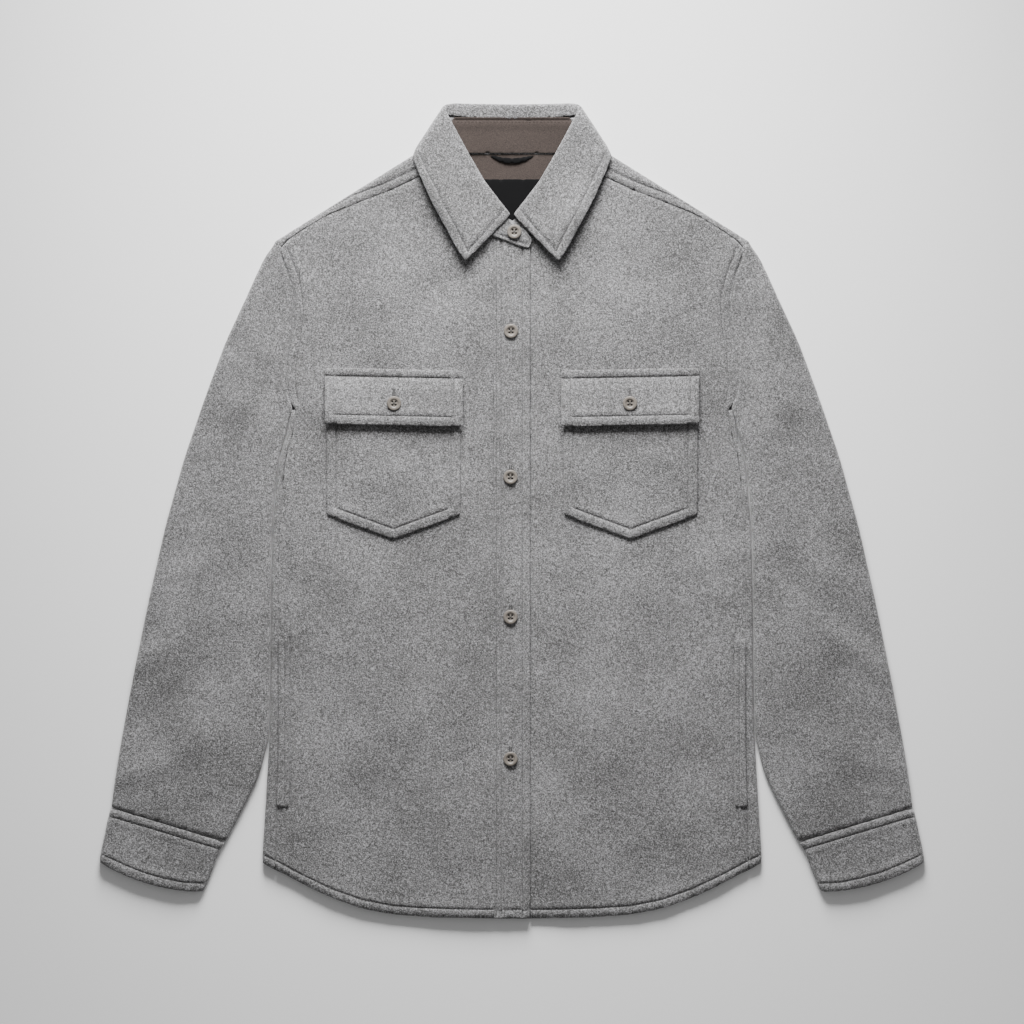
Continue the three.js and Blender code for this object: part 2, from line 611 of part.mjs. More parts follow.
function makeFlaps() {
  const onPocket = POCKET.wall + BAND_RISE + REST;
  const outer = [];
  const inner = [];
  for (const down of [0, 7.5, 9, 19, 32, 45, 46.5, FLAP.deep]) {
    const carried = REST + onPocket * smoothstep(down, 8, 18);
    const rowBand = down <= 7.5 || down >= 46.5;
    const points = EDGE_SHARES.map((u) => [-lerp(FLAP.outer, FLAP.inner, u),
      lerp(FLAP.topOuter, FLAP.topInner, u) - down]);
    outer.push(points.map(([x, y], i) => [x, y, frontTop(x, y) + carried + FLAP.wall
      + (rowBand || isBand(EDGE_SHARES[i]) ? BAND_RISE : 0)]));
    inner.push(points.map(([x, y]) => [x, y, frontTop(x, y) + carried]));
  }
  pairOnFront('flap', outer, inner);
}

function makeWelts() {
  const rows = [WELT.top, lerp(WELT.top, WELT.bottom, 0.35), lerp(WELT.top, WELT.bottom, 0.7), WELT.bottom];
  const place = (wall) => rows.map((y) => {
    const edge = lookUp(SIDE, y) - lookUp(SIDE, y, 2) - WELT.edge;
    return [edge, WELT.inner + WELT.stitch, WELT.inner].map((half, i) =>
      [-half, y, frontTop(-half, y) + REST + wall * (i === 2 ? 0.8 : 1)]);
  });
  pairOnFront('side_welt', place(WELT.wall), place(0));
}

function toManifold(geometry) {
  const faces = [];
  const corners = [];
  const seen = new Map();
  const position = geometry.toNonIndexed().getAttribute('position');
  for (let i = 0; i < position.count; i += 1) {
    const at = [position.getX(i), position.getY(i), position.getZ(i)].map((v) => Math.round(v * 1e4) / 1e4 + 0);
    const key = at.join(' ');
    if (!seen.has(key)) {
      seen.set(key, corners.length / 3);
      corners.push(...at);
    }
    faces.push(seen.get(key));
  }
  const solid = [];
  for (let i = 0; i < faces.length; i += 3) {
    const [a, b, c] = faces.slice(i, i + 3);
    if (a !== b && b !== c && a !== c) solid.push(a, b, c);
  }
  return new wasm.Manifold(new wasm.Mesh({
    numProp: 3, vertProperties: new Float32Array(corners), triVerts: new Uint32Array(solid),
  }));
}

// A four-hole button: a turned disc with a raised rim and a dished face.
function buttonGeometry() {
  const profile = [[0, 0], [BUTTON_RADIUS - 1, 0], [BUTTON_RADIUS, 1.1], [BUTTON_RADIUS - 0.5, BUTTON_HIGH],
    [BUTTON_RADIUS - BUTTON_RIM, BUTTON_HIGH], [BUTTON_RADIUS - 2.4, BUTTON_HIGH - BUTTON_DISH],
    [0, BUTTON_HIGH - BUTTON_DISH]].map(([radius, z]) => new THREE.Vector2(radius, z));
  const disc = new THREE.LatheGeometry(profile, 18);
  disc.rotateX(Math.PI / 2);
  let solid = toManifold(disc);
  if (solid.volume() < 0) throw new Error('button profile is inside out');
  for (const [sideX, sideY] of [[-1, -1], [1, -1], [-1, 1], [1, 1]]) {
    const hole = new THREE.CylinderGeometry(HOLE_RADIUS, HOLE_RADIUS, 2 * BUTTON_HIGH, 6);
    hole.rotateX(Math.PI / 2);
    hole.translate(sideX * HOLE_OFFSET, sideY * HOLE_OFFSET, BUTTON_HIGH / 2);
    solid = solid.subtract(toManifold(hole));
  }
  const { vertProperties, triVerts } = solid.getMesh();
  const geometry = new THREE.BufferGeometry();
  geometry.setAttribute('position', new THREE.BufferAttribute(vertProperties.slice(), 3));
  geometry.setIndex(new THREE.BufferAttribute(triVerts.slice(), 1));
  geometry.computeVertexNormals();
  return geometry;
}

const BUTTON_SHAPE = buttonGeometry();

function makeButton(name, x, y, z) {
  const button = new THREE.Mesh(BUTTON_SHAPE, BUTTON_FINISH);
  button.name = name;
  button.position.set(x, y, z);
  jacket.add(button);
}

function makeButtons() {
  for (const [number, x, y] of PLACKET_BUTTONS) {
    makeButton(`button_placket_${number}`, x, y, OVER_Z + PLACKET_WALL + REST);
  }
  const standTop = COLLAR_FOLD + STAND_OUTER + STAND_OVER[4][4];
  makeButton('button_stand', ...STAND_BUTTON, standTop + REST);
  const [x, y] = FLAP_BUTTON;
  const flapTop = POCKET.wall + BAND_RISE + REST + REST + FLAP.wall;
  for (const [name, sign] of [['right', -1], ['left', 1]]) {
    makeButton(`button_flap_${name}`, sign * x, y, frontTop(sign * x, y) + flapTop + REST);
  }
}

makeBack();
makeYoke();
makeFronts();
makePlackets();
makeSleeves();
makeCuffs();
makeCollarFall();
makeCollarStand();
makeNeckInside();
makePockets();
makeFlaps();
makeWelts();
makeButtons();

export default jacket;
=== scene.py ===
# %% [markdown]
# # A wool shirt jacket, laid flat
# The jacket is cut from thick napped wool and lies on its back with its front up. Every panel already
# exists as a plain solid at its real size. This lesson makes each one finer, sews it and gives it its cloth.

# %% Load the frame
import math

import bmesh
import bpy
import numpy as np
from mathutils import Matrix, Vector
from mathutils.bvhtree import BVHTree


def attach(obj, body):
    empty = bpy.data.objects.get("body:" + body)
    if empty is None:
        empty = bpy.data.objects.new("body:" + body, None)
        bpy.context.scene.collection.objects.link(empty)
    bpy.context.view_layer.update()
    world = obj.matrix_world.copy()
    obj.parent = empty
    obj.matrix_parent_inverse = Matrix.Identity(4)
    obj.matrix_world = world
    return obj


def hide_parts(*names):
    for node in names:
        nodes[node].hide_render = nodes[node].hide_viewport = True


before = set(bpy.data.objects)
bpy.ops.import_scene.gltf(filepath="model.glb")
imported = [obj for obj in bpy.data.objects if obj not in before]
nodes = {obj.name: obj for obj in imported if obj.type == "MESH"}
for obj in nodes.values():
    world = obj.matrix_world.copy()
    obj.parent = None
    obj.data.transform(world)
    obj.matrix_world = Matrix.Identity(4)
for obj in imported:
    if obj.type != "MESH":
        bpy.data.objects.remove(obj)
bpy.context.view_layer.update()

MM = 0.001
rng = np.random.default_rng(7)
print("panels and trims in the frame:", len(nodes))

# %% [markdown]
# ## Camera
# A laid garment is photographed from straight above. An orthographic camera keeps the outline true, and one
# metre across the picture shows the whole jacket with its margin.

# %% Camera
PICTURE_WIDTH = 1.024
PICTURE_MIDDLE = -0.7 * MM
CAMERA_HEIGHT = 2.0
camera_data = bpy.data.cameras.new("camera")
camera_data.type = "ORTHO"
camera_data.ortho_scale = PICTURE_WIDTH
camera = bpy.data.objects.new("camera", camera_data)
camera.location = (0, PICTURE_MIDDLE, CAMERA_HEIGHT)
bpy.context.scene.collection.objects.link(camera)
bpy.context.scene.camera = camera

# %% [markdown]
# ## Floor and light
# A plain pale floor catches a soft shadow. One wide lamp, low beyond the collar, gives the cloth its
# gradient from bright shoulders to a darker hem, and its low angle brings out grooves and folds. A dim even
# surround keeps the shadows open.

# %% Floor and light
def plain_material(name, color, roughness):
    """Makes a material with one colour, for the floor only."""
    material = bpy.data.materials.new(name)
    material.use_nodes = True
    shader = material.node_tree.nodes["Principled BSDF"]
    shader.inputs["Base Color"].default_value = (*color, 1)
    shader.inputs["Roughness"].default_value = roughness
    return material


LAMP_SPREAD = math.radians(76)
KEY_PLACE = (-0.05, 1.4, 0.75)
KEY_AIM = (0, 0.12, 0)
KEY_SIZE = 0.8
KEY_POWER = 18
SURROUND_STRENGTH = 0.25


def area_lamp(name, place, aim, size, power):
    """Adds a square soft lamp that points at a place on the garment."""
    data = bpy.data.lights.new(name, "AREA")
    data.size = size
    data.energy = power
    data.spread = LAMP_SPREAD
    lamp = bpy.data.objects.new(name, data)
    lamp.location = place
    lamp.rotation_euler = (Vector(aim) - Vector(place)).to_track_quat("-Z", "Y").to_euler()
    bpy.context.scene.collection.objects.link(lamp)


FLOOR_HALF = 3.0
FLOOR_GAP = 0.3 * MM
FLOOR_GREY = (0.98, 0.98, 0.98)
FLOOR_CORNERS = [(-FLOOR_HALF, -FLOOR_HALF, 0), (FLOOR_HALF, -FLOOR_HALF, 0),
                 (FLOOR_HALF, FLOOR_HALF, 0), (-FLOOR_HALF, FLOOR_HALF, 0)]
floor_mesh = bpy.data.meshes.new("floor")
floor_mesh.from_pydata(FLOOR_CORNERS, [], [(0, 1, 2, 3)])
floor_mesh.materials.append(plain_material("floor paper", FLOOR_GREY, 0.9))
floor = bpy.data.objects.new("floor", floor_mesh)
floor.location.z = -FLOOR_GAP
bpy.context.scene.collection.objects.link(floor)

world = bpy.data.worlds.new("studio")
bpy.context.scene.world = world
world.use_nodes = True
world.node_tree.nodes["Background"].inputs["Color"].default_value = (1, 1, 1, 1)
world.node_tree.nodes["Background"].inputs["Strength"].default_value = SURROUND_STRENGTH
area_lamp("key", KEY_PLACE, KEY_AIM, KEY_SIZE, KEY_POWER)
print("key lamp stands", KEY_PLACE[2], "m above the floor")

# %% [markdown]
# ## Cloth colours
# Heathered wool is spun from pale, middle and dark fibres, then brushed so that they lie in a soft nap. Its
# colour is mixed here from two fine noises, one for fibres and one for small tufts, with a broad noise for
# slow unevenness. The same fine noises drive the bump, so a dark fleck is also a small hollow in the nap.
# Facing, tape and thread are woven or twisted tighter, so they use the same recipe at a smaller scale.

# %% Cloth recipe
TUFT_SHARE = 0.42
SLOW_SHARE = 0.14
SLOW_SCALE = 14.0
NAP_DEPTH = 1.0 * MM
SHEEN_ROUGHNESS = 0.6
CLOTH_SHINE = 0.15


def shader_step(tree, kind, **values):
    """Adds a shader node and sets the sockets that are named."""
    node = tree.nodes.new(kind)
    for key, value in values.items():
        node.inputs[key.replace("_", " ")].default_value = value
    return node


def ramp_node(tree, stops):
    """Adds a colour ramp from (place, grey or colour) stops."""
    ramp = tree.nodes.new("ShaderNodeValToRGB")
    while len(ramp.color_ramp.elements) < len(stops):
        ramp.color_ramp.elements.new(0.5)
    for element, (place, color) in zip(ramp.color_ramp.elements, stops):
        element.position = place
        element.color = (*color, 1)
    return ramp


def cloth_material(name, stops, grain, fleck, roughness, sheen, bump):
    """Makes a napped or woven cloth: flecks at fibre size, slow unevenness and a fine bump."""
    material = bpy.data.materials.new(name)
    material.use_nodes = True
    tree = material.node_tree
    shader = tree.nodes["Principled BSDF"]
    where = tree.nodes.new("ShaderNodeTexCoord")
    fine = shader_step(tree, "ShaderNodeTexNoise", Scale=grain, Detail=6.0, Roughness=0.72, Distortion=0.6)
    broad = shader_step(tree, "ShaderNodeTexNoise", Scale=SLOW_SCALE, Detail=3.0, Roughness=0.5)
    fibres = shader_step(tree, "ShaderNodeTexNoise", Scale=fleck, Detail=3.0, Roughness=0.6, Distortion=1.5)
    for noise in (fine, broad, fibres):
        tree.links.new(where.outputs["Object"], noise.inputs["Vector"])
    together = tree.nodes.new("ShaderNodeMath")
    together.operation = "MULTIPLY_ADD"
    tree.links.new(fibres.outputs["Fac"], together.inputs[0])
    together.inputs[1].default_value = TUFT_SHARE
    tree.links.new(fine.outputs["Fac"], together.inputs[2])
    slow = tree.nodes.new("ShaderNodeMath")
    slow.operation = "MULTIPLY_ADD"
    tree.links.new(broad.outputs["Fac"], slow.inputs[0])
    slow.inputs[1].default_value = SLOW_SHARE
    tree.links.new(together.outputs[0], slow.inputs[2])
    ramp = ramp_node(tree, stops)
    tree.links.new(slow.outputs[0], ramp.inputs["Fac"])
    tree.links.new(ramp.outputs["Color"], shader.inputs["Base Color"])
    relief = shader_step(tree, "ShaderNodeBump", Strength=bump, Distance=NAP_DEPTH)
    tree.links.new(together.outputs[0], relief.inputs["Height"])
    tree.links.new(relief.outputs["Normal"], shader.inputs["Normal"])
    shader.inputs["Roughness"].default_value = roughness
    shader.inputs["Sheen Weight"].default_value = sheen
    shader.inputs["Sheen Roughness"].default_value = SHEEN_ROUGHNESS
    shader.inputs["Specular IOR Level"].default_value = CLOTH_SHINE
    return material


# %% The four cloths
WOOL_STOPS = [(0.62, (0.034, 0.033, 0.033)), (0.735, (0.098, 0.096, 0.095)), (0.81, (0.190, 0.187, 0.189)),
              (0.91, (0.400, 0.395, 0.406))]
wool = cloth_material("grey wool", WOOL_STOPS, grain=760.0, fleck=400.0, roughness=0.95, sheen=0.3,
                      bump=1.0)
THREAD_STOPS = [(0.5, (0.040, 0.039, 0.039)), (0.95, (0.080, 0.078, 0.078))]
thread = cloth_material("grey thread", THREAD_STOPS, grain=2400.0, fleck=900.0, roughness=0.7, sheen=0.1,
                        bump=0.3)
COTTON_STOPS = [(0.60, (0.018, 0.013, 0.011)), (0.92, (0.060, 0.046, 0.040))]
cotton = cloth_material("brown cotton", COTTON_STOPS, grain=1500.0, fleck=700.0, roughness=0.85, sheen=0.1,
                        bump=0.25)
# The black tape cloth also serves as painted shade at the bottoms of the button holes.
TAPE_STOPS = [(0.5, (0.0015, 0.0015, 0.0016)), (0.95, (0.004, 0.004, 0.0045))]
tape_and_hole_shade = cloth_material("black tape", TAPE_STOPS, grain=1800.0, fleck=900.0, roughness=0.9, sheen=0.0,
                      bump=0.2)
print("cloths mixed:", wool.name, cotton.name, tape_and_hole_shade.name, thread.name)

# %% [markdown]
# ## From a plain solid to soft cloth
# A cut panel of thick wool gives where it is sewn, so its mesh must be able to bend there. Each panel starts
# as its solid's own surface and is cut into small triangles, smallest near a sewn line. Its underside isn't
# seen, so the triangles there stay large.

# %% Distance to a sewn line
FAR_AWAY = 1.0


def smooth_step(value, low, high):
    """Rises smoothly from 0 to 1 between two values."""
    share = np.clip((value - low) / (high - low), 0, 1)
    return share * share * (3 - 2 * share)


def along_lines(points, lines):
    """Gives each point's distance in plan to the nearest of some lines of (x, y) in millimetres."""
    nearest = np.full(len(points), FAR_AWAY)
    flat = points[:, :2]
    for line in lines:
        line = np.asarray(line) * MM
        for start, end in zip(line[:-1], line[1:]):
            run = end - start
            share = np.clip((flat - start) @ run / max(run @ run, 1e-12), 0, 1)
            gap = np.linalg.norm(flat - start - share[:, None] * run, axis=1)
            nearest = np.minimum(nearest, gap)
    return nearest


# %% Smaller triangles
UNDER_CELL = 30 * MM
OPEN_CELL = 7 * MM
SEWN_CELL = 2.1 * MM
SEWN_REACH = 1.8 * MM
FACES_DOWN = -0.6
MOST_HALVINGS = 14


def refine(bm, lines, open_cell):
    """Halves long edges until each is short enough for where it lies."""
    for _ in range(MOST_HALVINGS):
        edges = [e for e in bm.edges if e.calc_length() > SEWN_CELL]
        if not edges:
            break
        middles = np.array([(e.verts[0].co + e.verts[1].co) / 2 for e in edges])
        lengths = np.array([e.calc_length() for e in edges])
        hidden = np.array([all(f.normal.z < FACES_DOWN for f in e.link_faces) for e in edges])
        gaps = along_lines(middles, lines)
        cell = np.where(gaps < SEWN_REACH + lengths / 2, SEWN_CELL, open_cell)
        cell = np.where(hidden, UNDER_CELL, cell)
        long_edges = [e for e, wrong in zip(edges, lengths > cell) if wrong]
        if not long_edges:
            break
        bmesh.ops.subdivide_edges(bm, edges=long_edges, cuts=1)
        bmesh.ops.triangulate(bm, faces=[f for f in bm.faces if len(f.verts) > 3])


# %% [markdown]
# ## Rounded edges
# The edge of thick wool is round, not sharp. Moving each point a little towards its neighbours rounds the
# mesh in the same way. Near neighbours pull harder than far ones, and no point may end more than 0.9 mm from
# its start, so the panel keeps its size to about a millimetre.

# %% Soft edges
SOFT_REACH = 0.9 * MM
SOFT_STEP = 0.5
SHORTEST = 0.3 * MM


def soften(points, pairs, rounds):
    """Rounds the edges: each point steps towards its near neighbours, and never far from its start."""
    start = points
    lengths = np.linalg.norm(points[pairs[:, 0]] - points[pairs[:, 1]], axis=1)
    pull = 1 / np.maximum(lengths, SHORTEST)
    total = np.bincount(pairs.ravel(), np.repeat(pull, 2), len(points))[:, None]
    for _ in range(rounds):
        near = np.zeros_like(points)
        for axis in range(3):
            ahead = np.bincount(pairs[:, 0], pull * points[pairs[:, 1], axis], len(points))
            behind = np.bincount(pairs[:, 1], pull * points[pairs[:, 0], axis], len(points))
            near[:, axis] = ahead + behind
        points = points + SOFT_STEP * (near / total - points)
        moved = points - start
        far = np.linalg.norm(moved, axis=1)[:, None]
        points = start + moved * np.minimum(1, SOFT_REACH / np.maximum(far, 1e-9))
    return points


# %% Reading and writing points
def mesh_points(mesh):
    """Reads a mesh's vertices as an array."""
    flat = np.empty(len(mesh.vertices) * 3)
    mesh.vertices.foreach_get("co", flat)
    return flat.reshape(-1, 3)


def mesh_normals(mesh):
    """Reads a mesh's vertex normals as an array."""
    normals = np.empty(len(mesh.vertices) * 3)
    mesh.vertex_normals.foreach_get("vector", normals)
    return normals.reshape(-1, 3)


def write_points(mesh, points):
    """Writes an array back to a mesh's vertices."""
    mesh.vertices.foreach_set("co", np.ascontiguousarray(points).ravel())
    mesh.update()


def smooth_shaded(mesh):
    """Shades a mesh as one soft surface."""
    mesh.polygons.foreach_set("use_smooth", [True] * len(mesh.polygons))


# %% [markdown]
# ## How the cloth lies
# Laid cloth is never a plane. One height map lifts the front, its pockets and its plackets together, so no
# layer parts from the next. It adds two things: soft folds, most of them at the armholes
# and elbows, and long low waves in seeded directions, for the slow unevenness of soft cloth.

# %% Folds on the wearer's right
FOLDS = [
    # The columns are x and y of the start, x and y of the end, width and height, all in millimetres.
    (-232, 232, -240, 180, 8, -1.9),
    (-240, 180, -240, 130, 10, -1.9),
    (-261, 238, -270, 110, 14, 6.0),
    (-236, 118, -243, 40, 8, -1.9),
    (-262, 80, -306, -50, 19, 4.2),
    (-300, 110, -338, -30, 20, -1.6),
    (-340, 60, -370, -90, 18, 3.2),
    (-268, -60, -330, -120, 14, -1.9),
    (-300, -90, -370, -150, 15, 3.2),
    (-318, -170, -385, -215, 14, -1.8),
    (-310, -230, -380, -262, 14, 1.8),
    (-204, 226, -200, 110, 12, 2.6),
    (-196, 60, -206, -60, 16, -1.4),
    (-222, 20, -226, -120, 10, 1.5),
    (-150, 215, -70, 190, 24, 1.2),
    (-160, -70, -90, -190, 32, 1.6),
    (-60, -60, -45, -230, 24, -1.4),
    (-200, -190, -160, -330, 24, -1.6),
    (-110, -230, -60, -380, 28, 1.4),
    (-30, 255, -95, 205, 15, -1.6),
]
print("folds placed on each side:", len(FOLDS))

# %% One fold
FOLD_BEND = 0.05
FOLD_FADE = 1.8


def fold_height(x, y, fold):
    """Gives one fold's height: a rounded ridge or trough that fades out past its ends."""
    x1, y1, x2, y2, width, height = fold
    run = np.array([x2 - x1, y2 - y1], float)
    length = np.linalg.norm(run)
    run /= length
    along = (x - x1) * run[0] + (y - y1) * run[1]
    across = (y - y1) * run[0] - (x - x1) * run[1]
    bend = FOLD_BEND * length * np.sin(np.clip(along / length, -0.5, 1.5) * np.pi)
    beyond = np.maximum(np.maximum(-along, along - length), 0) / (FOLD_FADE * width)
    return height * np.exp(-((across - bend) / width) ** 2 - beyond ** 2)


# %% Height map
WAVES = 26
SHORT_WAVE = 26
LONG_WAVE = 190
WAVE_HEIGHT = 0.0024
WAVE_GROWTH = 0.9
LEFT_CHANGE = 0.82
LEFT_SHIFT = 4
LEFT_TURN = 5.0
LOWEST = -1.9
wave_turns = rng.uniform(0, 2 * math.pi, (WAVES, 2))
wave_sizes = np.geomspace(SHORT_WAVE, LONG_WAVE, WAVES)


def lie(x, y):
    """Gives the laid front's height map in millimetres; the left side's folds differ a little."""
    height = np.zeros_like(x)
    for turn, size in zip(wave_turns, wave_sizes):
        phase = (x * math.cos(turn[0]) + y * math.sin(turn[0])) / size * 2 * math.pi
        height += WAVE_HEIGHT * size ** WAVE_GROWTH * np.sin(phase + turn[1])
    for i, fold in enumerate(FOLDS):
        height += fold_height(x, y, fold)
        shift = LEFT_SHIFT * math.sin(LEFT_TURN * i)
        height += LEFT_CHANGE * fold_height(-x - shift, y + 2 * shift, fold)
    return np.maximum(height, LOWEST)


sample = lie(*np.meshgrid(np.arange(-230, 230, 10.0), np.arange(-350, 250, 10.0)))
print("the front lies between", sample.min().round(1), "and", sample.max().round(1), "mm off its plane")

# %% Lifting the front
BACK_TOP = 2.4
FRONT_UNDER = 4.8


def laid(points):
    """Lifts points by the height map; the back stays flat on the floor."""
    points = points.copy()
    share = np.clip((points[:, 2] / MM - BACK_TOP) / (FRONT_UNDER - BACK_TOP), 0, 1)
    points[:, 2] += lie(points[:, 0] / MM, points[:, 1] / MM) * share * MM
    return points


# %% [markdown]
# ## Corners that tuck in and edges that stand off
# Each sleeve is drawn in by a few millimetres under the shoulder tip and the armpit. The collar leaf and the
# pocket flaps are folded over, so their free edges stand off the cloth below. All are smooth shifts that fade
# out with distance, so the cloth isn't torn.

# %% Tucked sleeves
# The columns are x and y of the corner, the reach, and the shift inward and upward, all in millimetres.
TUCK_CORE = 0.2
TUCKS = [(-240, 266, 16, 4.0, 2.5), (-231, 104, 15, 4.5, -1.0)]


def tucked(points):
    """Pulls the sleeves' corners in under the shoulder tip and the armpit."""
    points = points.copy()
    for x, y, reach, dx, dy in TUCKS:
        far = np.hypot(np.abs(points[:, 0]) / MM + x, points[:, 1] / MM - y)
        share = 1 - smooth_step(far, TUCK_CORE * reach, reach)
        points[:, 0] -= np.sign(points[:, 0]) * dx * share * MM
        points[:, 1] += dy * share * MM
    return points


# %% Raised collar and flaps
COLLAR_LIFT = 7.0
COLLAR_RISE = (6, 52)
COLLAR_FRONT = (-372, -300)
LEAF_FOLD = [(-72, 408), (-14, 300)]
FLAP_LIFT = 3.2
FLAP_RISE = (-134, -90)


def raised(name, x, y):
    """Gives how far a hanging edge stands off the cloth below it, in millimetres."""
    if name == "collar_fall":
        start, end = np.array(LEAF_FOLD[0], float), np.array(LEAF_FOLD[1], float)
        run = (end - start) / np.linalg.norm(end - start)
        side = -np.abs(x)
        away = (side - start[0]) * run[1] - (y - start[1]) * run[0]
        return COLLAR_LIFT * smooth_step(away, *COLLAR_RISE) * smooth_step(-y, *COLLAR_FRONT)
    if name.startswith("flap"):
        return FLAP_LIFT * smooth_step(-y, *FLAP_RISE)
    return np.zeros_like(x)


# %% [markdown]
# ## What sewing does to the cloth
# Tight stitches pull the layers together in a narrow groove, and the wool puffs up beside it. Both are worked
# out from the distance to the sewn line, and only for faces that look up. The side walls also grow by 0.3 mm,
# so that two panels meet at a seam with no gap between them.

# %% Grooves and grown walls
GROOVE_DEPTH = 1.1 * MM
GROOVE_WIDTH = 0.9 * MM
PUFF_HEIGHT = 0.6 * MM
PUFF_PLACE = 4.2 * MM
PUFF_WIDTH = 2.6 * MM
LOOKS_UP = 0.3
LOOKS_UP_BLEND = 0.4
WALL_GROWTH = 0.3 * MM


def inflated(mesh, points, amount):
    """Grows the side walls outward in plan, so that seam edges press together."""
    normals = mesh_normals(mesh)
    sideways = normals * (1, 1, 0)
    return points + sideways * amount


def sew_down(mesh, points, lines):
    """Sinks a groove along each sewn line and puffs the cloth beside it."""
    up = np.clip((mesh_normals(mesh)[:, 2] - LOOKS_UP) / LOOKS_UP_BLEND, 0, 1)
    up = up * (points[:, 2] > FRONT_UNDER * MM)
    gap = along_lines(points, lines)
    groove = GROOVE_DEPTH * np.exp(-(gap / GROOVE_WIDTH) ** 2)
    puff = PUFF_HEIGHT * np.exp(-((gap - PUFF_PLACE) / PUFF_WIDTH) ** 2)
    points = points.copy()
    points[:, 2] += (puff - groove) * up
    return points


# %% [markdown]
# ## One fine piece
# Every panel goes through the same steps: it is cut fine, rounded, sewn, tucked where it is a sleeve, laid,
# raised where its edge stands off, and grown at its walls.

# %% One fine piece
WELD_GAP = 0.01 * MM
pieces = {}


def fine_piece(name, material, lines, cell, rounds):
    """Makes a fine soft copy of a solid, ready to crease and sew, and lets it stand for the solid."""
    bm = bmesh.new()
    bm.from_mesh(nodes[name].data)
    bmesh.ops.remove_doubles(bm, verts=bm.verts, dist=WELD_GAP)
    bmesh.ops.recalc_face_normals(bm, faces=bm.faces)
    refine(bm, lines, cell)
    mesh = bpy.data.meshes.new(f"{name}_cloth")
    bm.to_mesh(mesh)
    bm.free()
    pairs = np.array([tuple(edge.vertices) for edge in mesh.edges])
    write_points(mesh, soften(mesh_points(mesh), pairs, rounds))
    points = mesh_points(mesh)
    if lines:
        points = sew_down(mesh, points, lines)
    if name.startswith("sleeve"):
        points = tucked(points)
    points = laid(points)
    points[:, 2] += raised(name, points[:, 0] / MM, points[:, 1] / MM) * MM
    write_points(mesh, points)
    write_points(mesh, inflated(mesh, points, WALL_GROWTH))
    smooth_shaded(mesh)
    mesh.materials.append(material)
    piece = bpy.data.objects.new(f"{name}_cloth", mesh)
    bpy.context.scene.collection.objects.link(piece)
    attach(piece, "root")
    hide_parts(name)
    pieces[name] = piece


# %% [markdown]
# ## Where the seams run
# Topstitching shows on every edge of this jacket, about nine millimetres in. The lines are worked out from
# the same few outlines that the pieces were cut to, for the wearer's right, then mirrored. All are given in
# millimetres, as points along the edge.

# %% Mirrored and moved lines
def mirrored(line):
    """Gives the same line on the other side of the body."""
    return [(-x, y) for x, y in line]


def both(line):
    """Gives a line and its mirror image."""
    return [line, mirrored(line)]


def inset(line, distance):
    """Moves an open line sideways, to its left, keeping its corners."""
    line = np.asarray(line, float)
    runs = np.diff(line, axis=0)
    runs /= np.linalg.norm(runs, axis=1)[:, None]
    sides = np.stack([-runs[:, 1], runs[:, 0]], axis=1)
    moved = []
    for i, point in enumerate(line):
        before = sides[max(i - 1, 0)]
        after = sides[min(i, len(sides) - 1)]
        out = before + after
        moved.append(point + out * distance * 2 / (out @ out))
    return [tuple(point) for point in moved]


# %% Hem and yoke
HEM = [(0, -407.3), (32, -407.3), (88, -405.7), (119, -403.5), (150, -397.4), (180, -386.7),
       (211, -372.1), (234, -359.7), (250, -352)]
EDGE_STITCH = 9.0
NEAR_STITCH = 8.5
hem_line = [(x, y + EDGE_STITCH) for x, y in HEM]
SHOULDER_TIP = np.array([-240, 267.8])
SHOULDER_ALONG = np.array([0.848, 0.53])
SHOULDER_IN = np.array([0.53, -0.848])
YOKE_LEAST = 1.2
YOKE_SEAM = [(65, 5.2), (94, 10.7), (129, 17.5), (151, 20.2), (170, 22.1)]
yoke_line = []
for along, width in YOKE_SEAM:
    inward = max(width - NEAR_STITCH, YOKE_LEAST)
    yoke_line.append(tuple(SHOULDER_TIP + SHOULDER_ALONG * along + SHOULDER_IN * inward))
print("hem stitching starts", EDGE_STITCH, "mm above the edge")

# %% Armhole and side
armhole_line = [(-224.2, 262.5), (-220.3, 250.8), (-216.5, 243.3), (-212.7, 230.3), (-209.5, 215),
                (-208.6, 200), (-211, 176), (-215.5, 150), (-217, 128), (-213.5, 108)]
armhole_seam = inset(armhole_line, -NEAR_STITCH)
side_seam = [(-236.2, 60), (-236.2, -350)]
welt_line = [(-227.4, -128.5), (-227.4, -295)]
welt_edge = [(-222.4, -126), (-222.4, -297)]
print("the armhole's stitching has", len(armhole_line), "points")

# %% Collar and placket
FALL_RUN_ON = (5.5, 6.4)
FALL_EDGE = [(-100.5, 354), (-92, 335.6), (-74, 298.8), (-61.5, 275.9), (-51, 254.5), (-46.2, 250.6),
             (-38.5, 254.3), (-20.2, 274.3), (-3, 294.5)]
fall_line = inset(FALL_EDGE, NEAR_STITCH)
fall_line.append(tuple(np.array(fall_line[-1]) + FALL_RUN_ON))
tab_line = [(-12, 276.5), (2, 272), (10, 268.6), (15.6, 266.3), (18, 270), (17.4, 273.5), (8, 283)]
placket_lines = [[(-15.6, 277), (-15.6, -405)], [(-10.8, 275), (-10.8, -405)], [(10.4, 268), (10.4, -405)],
                 [(-17.5, -398.3), (17.5, -398.3)]]
print("lines sewn down the placket:", len(placket_lines) - 1)

